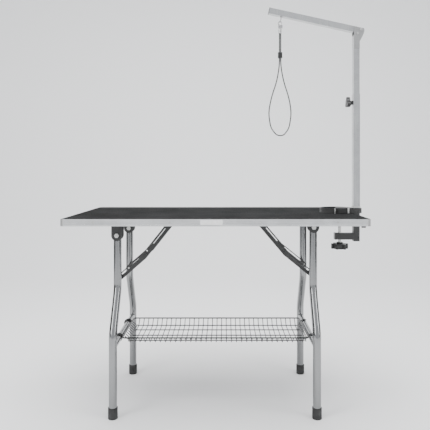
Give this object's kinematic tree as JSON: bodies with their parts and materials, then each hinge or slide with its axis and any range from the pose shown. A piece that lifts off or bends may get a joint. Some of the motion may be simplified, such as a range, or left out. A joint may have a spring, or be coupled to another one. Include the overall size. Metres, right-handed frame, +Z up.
{
  "type": "grooming table",
  "caption": "Folding grooming table with a metal-edged mat top, bent tube legs, a hanging wire tray and a clamp-on height-adjustable arm that carries a noose.",
  "frame": {"origin": "on the floor, under the middle of the whole object's outline", "axes": "+Z up; +X along the table towards the arm's post; -Y the long side with the name plate"},
  "size_m": [1.2252, 0.6124, 1.6645],
  "materials": {
    "top_mat": "fine ribbed matt",
    "board": "dark film face",
    "edging": "satin anodised",
    "corner_metal": "satin",
    "bright_fixings": "zinc plated",
    "blank_label": "gloss",
    "black_steel": "semi-gloss powder coat",
    "leg_chrome": "polished",
    "foot_rubber": "matt",
    "tray_wire": "satin coat",
    "black_plastic": "satin",
    "post_steel": "polished stainless",
    "hinge_steel": "satin",
    "snap_metal": "nickel plated",
    "cord_nylon": "braided nylon",
    "webbing": "woven nylon"
  },
  "bodies": {
    "table_top": {"tabletop_board": "board", "rubber_mat": "top_mat", "long_edge_trims": "edging", "short_edge_trims": "edging", "corner_caps": "corner_metal", "edge_screws": "bright_fixings", "name_plate": "blank_label", "leg_brackets": "black_steel", "pivot_bolts": "bright_fixings", "brace_brackets": "black_steel", "brace_pivots": "bright_fixings", "bracket_screws": "black_steel"},
    "left_legs": {"left_front_leg": "leg_chrome", "left_rear_leg": "leg_chrome", "left_crossbar": "leg_chrome", "left_feet": "foot_rubber", "left_brace_studs": "bright_fixings"},
    "right_legs": {"right_front_leg": "leg_chrome", "right_rear_leg": "leg_chrome", "right_crossbar": "leg_chrome", "right_feet": "foot_rubber", "right_brace_studs": "bright_fixings"},
    "left_upper_brace": {"left_upper_braces": "black_steel"},
    "left_lower_brace": {"left_lower_braces": "black_steel"},
    "right_upper_brace": {"right_upper_braces": "black_steel"},
    "right_lower_brace": {"right_lower_braces": "black_steel"},
    "tray_hangers": {"tray_sleeves": "black_plastic"},
    "tray": {"tray_floor": "tray_wire", "tray_front_wall": "tray_wire", "tray_rear_wall": "tray_wire", "tray_left_wall": "tray_wire", "tray_right_wall": "tray_wire", "tray_hooks": "tray_wire"},
    "arm_clamp": {"clamp_spine": "black_steel", "clamp_upper_jaw": "black_steel", "clamp_lower_jaw": "black_steel", "post_spigot": "post_steel", "post_collar": "bright_fixings", "outer_post": "post_steel", "height_nut": "black_steel", "post_strap": "webbing", "strap_glides": "bright_fixings", "strap_buckle": "black_plastic"},
    "pressure_pad": {"clamp_pad": "bright_fixings"},
    "clamp_screw": {"clamp_screw": "bright_fixings", "clamp_knob": "black_plastic"},
    "side_knob": {"side_knob": "black_plastic"},
    "height_knob": {"height_knob": "black_plastic"},
    "inner_post": {"inner_post": "post_steel", "hinge_plates": "hinge_steel", "arm_pins": "bright_fixings"},
    "arm": {"arm_tube": "post_steel", "arm_end_plugs": "black_plastic", "leash_eye": "snap_metal"},
    "snap": {"snap_hook": "snap_metal"},
    "snap_gate": {"snap_gate": "snap_metal"},
    "noose": {"noose_crimp": "snap_metal", "noose_cord": "cord_nylon"},
    "noose_slider": {"noose_slider": "black_plastic"}
  },
  "joints": [
    {"name": "left_leg_fold", "type": "hinge", "parent": "table_top", "child": "left_legs", "pos_m": [-0.4304, 0, 0.705], "axis": [0, -1, 0], "range_deg": [0, 90]},
    {"name": "right_leg_fold", "type": "hinge", "parent": "table_top", "child": "right_legs", "pos_m": [0.3686, 0, 0.738], "axis": [0, 1, 0], "range_deg": [0, 90]},
    {"name": "left_upper_brace_fold", "type": "hinge", "parent": "table_top", "child": "left_upper_brace", "pos_m": [-0.2224, 0, 0.745], "axis": [0, -1, 0], "range_deg": [-44.34, 0]},
    {"name": "left_lower_brace_fold", "type": "hinge", "parent": "left_legs", "child": "left_lower_brace", "pos_m": [-0.4304, 0, 0.524], "axis": [0, -1, 0], "range_deg": [0, 41.14]},
    {"name": "right_upper_brace_fold", "type": "hinge", "parent": "table_top", "child": "right_upper_brace", "pos_m": [0.1606, 0, 0.745], "axis": [0, 1, 0], "range_deg": [-48.45, 0]},
    {"name": "right_lower_brace_fold", "type": "hinge", "parent": "right_legs", "child": "right_lower_brace", "pos_m": [0.3686, 0, 0.54], "axis": [0, 1, 0], "range_deg": [0, 49.61]},
    {"name": "tray_hanger_turn", "type": "hinge", "parent": "left_legs", "child": "tray_hangers", "pos_m": [-0.4304, 0, 0.276], "axis": [0, 1, 0], "range_deg": [0, 144]},
    {"name": "tray_drop", "type": "hinge", "parent": "tray_hangers", "child": "tray", "pos_m": [-0.4304, 0, 0.276], "axis": [0, 1, 0], "range_deg": [0, 19.5]},
    {"name": "clamp_along_edge", "type": "slide", "parent": "table_top", "child": "arm_clamp", "axis": [0, 1, 0], "range_m": [-0.12, 0.15]},
    {"name": "pad_travel", "type": "slide", "parent": "arm_clamp", "child": "pressure_pad", "axis": [0, 0, 1], "range_m": [-0.045, 0]},
    {"name": "screw_turn", "type": "hinge", "parent": "pressure_pad", "child": "clamp_screw", "pos_m": [0.5001, -0.03, 0.7], "axis": [0, 0, 1], "range_deg": [-8100, 0]},
    {"name": "side_knob_turn", "type": "hinge", "parent": "arm_clamp", "child": "side_knob", "pos_m": [0.5946, -0.03, 0.745], "axis": [1, 0, 0], "continuous": true},
    {"name": "height_knob_turn", "type": "hinge", "parent": "arm_clamp", "child": "height_knob", "pos_m": [0.5376, -0.03, 1.259], "axis": [1, 0, 0], "continuous": true},
    {"name": "post_height", "type": "slide", "parent": "arm_clamp", "child": "inner_post", "axis": [0, 0, 1], "range_m": [-0.19, 0.15]},
    {"name": "arm_fold", "type": "hinge", "parent": "inner_post", "child": "arm", "pos_m": [0.5886, -0.03, 1.5696], "axis": [0, 1, 0], "range_deg": [0, 247]},
    {"name": "noose_swing", "type": "hinge", "parent": "arm", "child": "snap", "pos_m": [0.24488, -0.03, 1.6036], "axis": [0, 1, 0], "range_deg": [0, 113]},
    {"name": "snap_gate_slide", "type": "slide", "parent": "snap", "child": "snap_gate", "axis": [0, 0, 1], "range_m": [-0.005, 0]},
    {"name": "noose_swivel", "type": "hinge", "parent": "snap", "child": "noose", "pos_m": [0.24488, -0.03, 1.5739], "axis": [0, 0, 1], "range_deg": [-30, 30]},
    {"name": "noose_slider_move", "type": "slide", "parent": "noose", "child": "noose_slider", "axis": [0, 0, 1], "range_m": [0, 0.055]}
  ],
  "couplings": [
    {"joint": "left_upper_brace_fold", "follows": "left_leg_fold", "ratio": -0.49271},
    {"joint": "left_lower_brace_fold", "follows": "left_leg_fold", "ratio": 0.45715},
    {"joint": "right_upper_brace_fold", "follows": "right_leg_fold", "ratio": -0.53837},
    {"joint": "right_lower_brace_fold", "follows": "right_leg_fold", "ratio": 0.55121},
    {"joint": "tray_hanger_turn", "follows": "left_leg_fold", "ratio": 1.6},
    {"joint": "tray_drop", "follows": "right_leg_fold", "ratio": 0.21667},
    {"joint": "screw_turn", "follows": "pad_travel", "rad_per_m": 3141.6},
    {"joint": "noose_swing", "follows": "arm_fold", "ratio": 0.45749}
  ]
}
